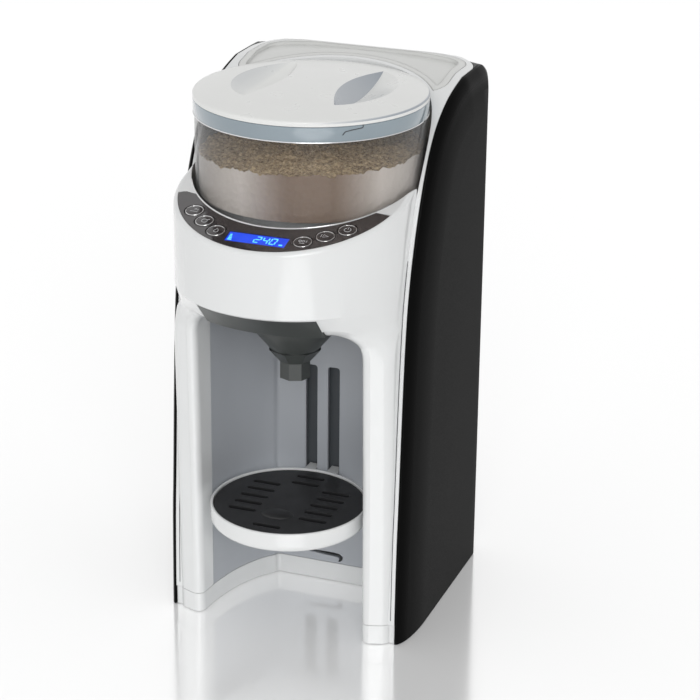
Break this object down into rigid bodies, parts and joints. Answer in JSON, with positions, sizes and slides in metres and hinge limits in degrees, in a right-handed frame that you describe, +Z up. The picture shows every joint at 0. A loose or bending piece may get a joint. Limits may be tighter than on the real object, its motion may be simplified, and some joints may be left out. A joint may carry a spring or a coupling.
{
  "type": "formula dispenser",
  "caption": "Tall countertop machine that drops milk powder from a clear round hopper through a funnel into a bottle on a round adjustable tray, with warm water from a rear tank.",
  "frame": {"origin": "centre of the footprint on the worktop", "axes": "+Z up, the controls and the bottle bay face -Y, and +X is on the right of a person facing the machine"},
  "size_m": [0.174, 0.219, 0.3615],
  "materials": {
    "white_gloss": "polished white moulding",
    "light_grey": "satin light grey moulding",
    "black_satin": "satin black with a polished edge",
    "black_gloss": "piano black",
    "dark_grey": "satin dark grey",
    "clear": "clear polished",
    "collar_grey": "translucent blue-grey",
    "rubber": "matt black",
    "silicone": "matt translucent white",
    "blue_lcd": "backlit blue display",
    "steel": "plain",
    "board_green": "solder resist",
    "smoke": "smoked clear"
  },
  "bodies": {
    "frame": {"front_shell": "white_gloss", "base_ring": "white_gloss", "bay_liner": "light_grey", "left_side_panel": "black_satin", "right_side_panel": "black_satin", "rear_cover": "black_satin", "power_inlet": "black_satin", "control_fascia": "black_gloss", "lcd_display": "blue_lcd", "control_board": "board_green", "left_funnel_rail": "light_grey", "right_funnel_rail": "light_grey", "powder_chute": "light_grey", "water_nozzle": "light_grey", "tank_socket": "light_grey", "water_pump": "dark_grey", "water_heater": "steel", "power_board": "board_green", "inlet_tube": "silicone", "feed_tube": "silicone", "hot_water_tube": "silicone", "motor_bracket": "steel", "shaft_bearing": "steel", "powder_motor": "steel", "rubber_foot_1": "rubber", "rubber_foot_2": "rubber", "rubber_foot_3": "rubber", "rubber_foot_4": "rubber", "base_screw_1": "steel", "base_screw_2": "steel", "base_screw_3": "steel", "base_screw_4": "steel"},
    "hopper": {"hopper_container": "clear", "hopper_collar": "collar_grey"},
    "lid_seal_ring": {"lid_seal": "silicone"},
    "lid": {"lid_cap": "white_gloss"},
    "dosing": {"dosing_wheel": "light_grey", "stirring_wheel": "light_grey"},
    "drive": {"drive_shaft": "steel", "drive_gear": "light_grey"},
    "pinion": {"motor_pinion": "steel", "motor_shaft": "steel"},
    "drawer": {"funnel_drawer": "dark_grey"},
    "tray": {"bottle_tray": "white_gloss"},
    "grid": {"drip_grid": "rubber"},
    "tank": {"water_tank": "smoke"},
    "tank_lid": {"tank_lid": "white_gloss"},
    "valve": {"tank_valve": "silicone"},
    "strength_button": {"strength_button": "black_gloss"},
    "formula_button": {"formula_button": "black_gloss"},
    "water_button": {"water_button": "black_gloss"},
    "size_button": {"size_button": "black_gloss"},
    "start_button": {"start_button": "black_gloss"},
    "power_button": {"power_button": "black_gloss"}
  },
  "joints": [
    {"name": "hopper_lift", "type": "slide", "parent": "frame", "child": "hopper", "axis": [0, 0, 1], "range_m": [0, 0.08]},
    {"name": "lid_lift", "type": "slide", "parent": "hopper", "child": "lid_seal_ring", "axis": [0, 0, 1], "range_m": [0, 0.05]},
    {"name": "lid_turn", "type": "hinge", "parent": "lid_seal_ring", "child": "lid", "pos_m": [0, -0.0045, 0.356], "axis": [0, 0, 1], "range_deg": [0, 25]},
    {"name": "drive_spin", "type": "hinge", "parent": "frame", "child": "drive", "pos_m": [0, -0.0045, 0.267], "axis": [0, 0, 1], "continuous": true},
    {"name": "dosing_spin", "type": "hinge", "parent": "hopper", "child": "dosing", "pos_m": [0, -0.0045, 0.288], "axis": [0, 0, 1], "continuous": true},
    {"name": "pinion_spin", "type": "hinge", "parent": "frame", "child": "pinion", "pos_m": [0, 0.01135, 0.267], "axis": [0, 0, 1], "continuous": true},
    {"name": "drawer_slide", "type": "slide", "parent": "frame", "child": "drawer", "axis": [0, -1, 0], "range_m": [0, 0.09]},
    {"name": "tray_height", "type": "slide", "parent": "frame", "child": "tray", "axis": [0, 0, 1], "range_m": [-0.042, 0.068]},
    {"name": "grid_lift", "type": "slide", "parent": "tray", "child": "grid", "axis": [0, 0, 1], "range_m": [0, 0.03]},
    {"name": "tank_lift", "type": "slide", "parent": "frame", "child": "tank", "axis": [0, 0, 1], "range_m": [0, 0.2]},
    {"name": "tank_lid_lift", "type": "slide", "parent": "tank", "child": "tank_lid", "axis": [0, 0, 1], "range_m": [0, 0.04]},
    {"name": "valve_slide", "type": "slide", "parent": "tank", "child": "valve", "axis": [0, 0, 1], "range_m": [0, 0.003], "stiffness_N_per_m": 200, "springref_m": -0.002},
    {"name": "strength_press", "type": "slide", "parent": "frame", "child": "strength_button", "axis": [0, 0.2516, -0.9678], "range_m": [0, 0.0008], "stiffness_N_per_m": 500, "springref_m": -0.0008},
    {"name": "formula_press", "type": "slide", "parent": "frame", "child": "formula_button", "axis": [0, 0.2516, -0.9678], "range_m": [0, 0.0008], "stiffness_N_per_m": 500, "springref_m": -0.0008},
    {"name": "water_press", "type": "slide", "parent": "frame", "child": "water_button", "axis": [0, 0.2516, -0.9678], "range_m": [0, 0.0008], "stiffness_N_per_m": 500, "springref_m": -0.0008},
    {"name": "size_press", "type": "slide", "parent": "frame", "child": "size_button", "axis": [0, 0.2516, -0.9678], "range_m": [0, 0.0008], "stiffness_N_per_m": 500, "springref_m": -0.0008},
    {"name": "start_press", "type": "slide", "parent": "frame", "child": "start_button", "axis": [0, 0.2516, -0.9678], "range_m": [0, 0.0008], "stiffness_N_per_m": 500, "springref_m": -0.0008},
    {"name": "power_press", "type": "slide", "parent": "frame", "child": "power_button", "axis": [0, 0.2516, -0.9678], "range_m": [0, 0.0008], "stiffness_N_per_m": 500, "springref_m": -0.0008}
  ],
  "couplings": [
    {"joint": "drive_spin", "follows": "dosing_spin", "ratio": 1},
    {"joint": "pinion_spin", "follows": "dosing_spin", "ratio": -2}
  ]
}
